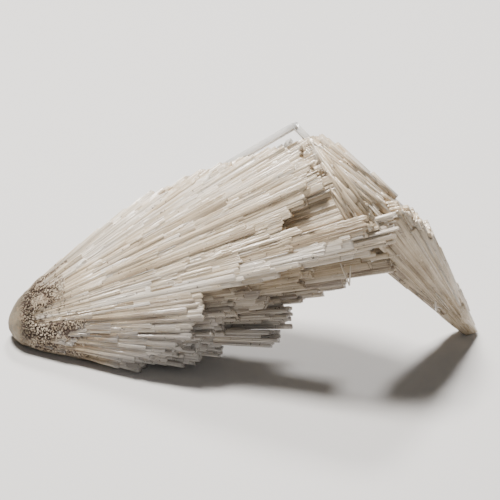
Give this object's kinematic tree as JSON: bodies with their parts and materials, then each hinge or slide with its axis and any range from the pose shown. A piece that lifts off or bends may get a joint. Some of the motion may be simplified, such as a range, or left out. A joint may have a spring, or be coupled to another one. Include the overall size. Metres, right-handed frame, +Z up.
{
  "type": "scolecite crystal cluster",
  "caption": "Arched cluster of pale square scolecite needles: a wide fan spray grown into a narrower tapering spray, resting on three points.",
  "frame": {"origin": "under the middle of the bounding box, on the surface that the cluster rests on", "axes": "+X along the arch from the root of the big spray to the tip of the small one, -Y to the front, +Z up"},
  "size_m": [0.1104, 0.0376, 0.0575],
  "materials": {
    "scolecite": "vitreous, translucent, streaked white to beige"
  },
  "bodies": {
    "root": {"crystal_cluster": "scolecite"}
  },
  "joints": []
}
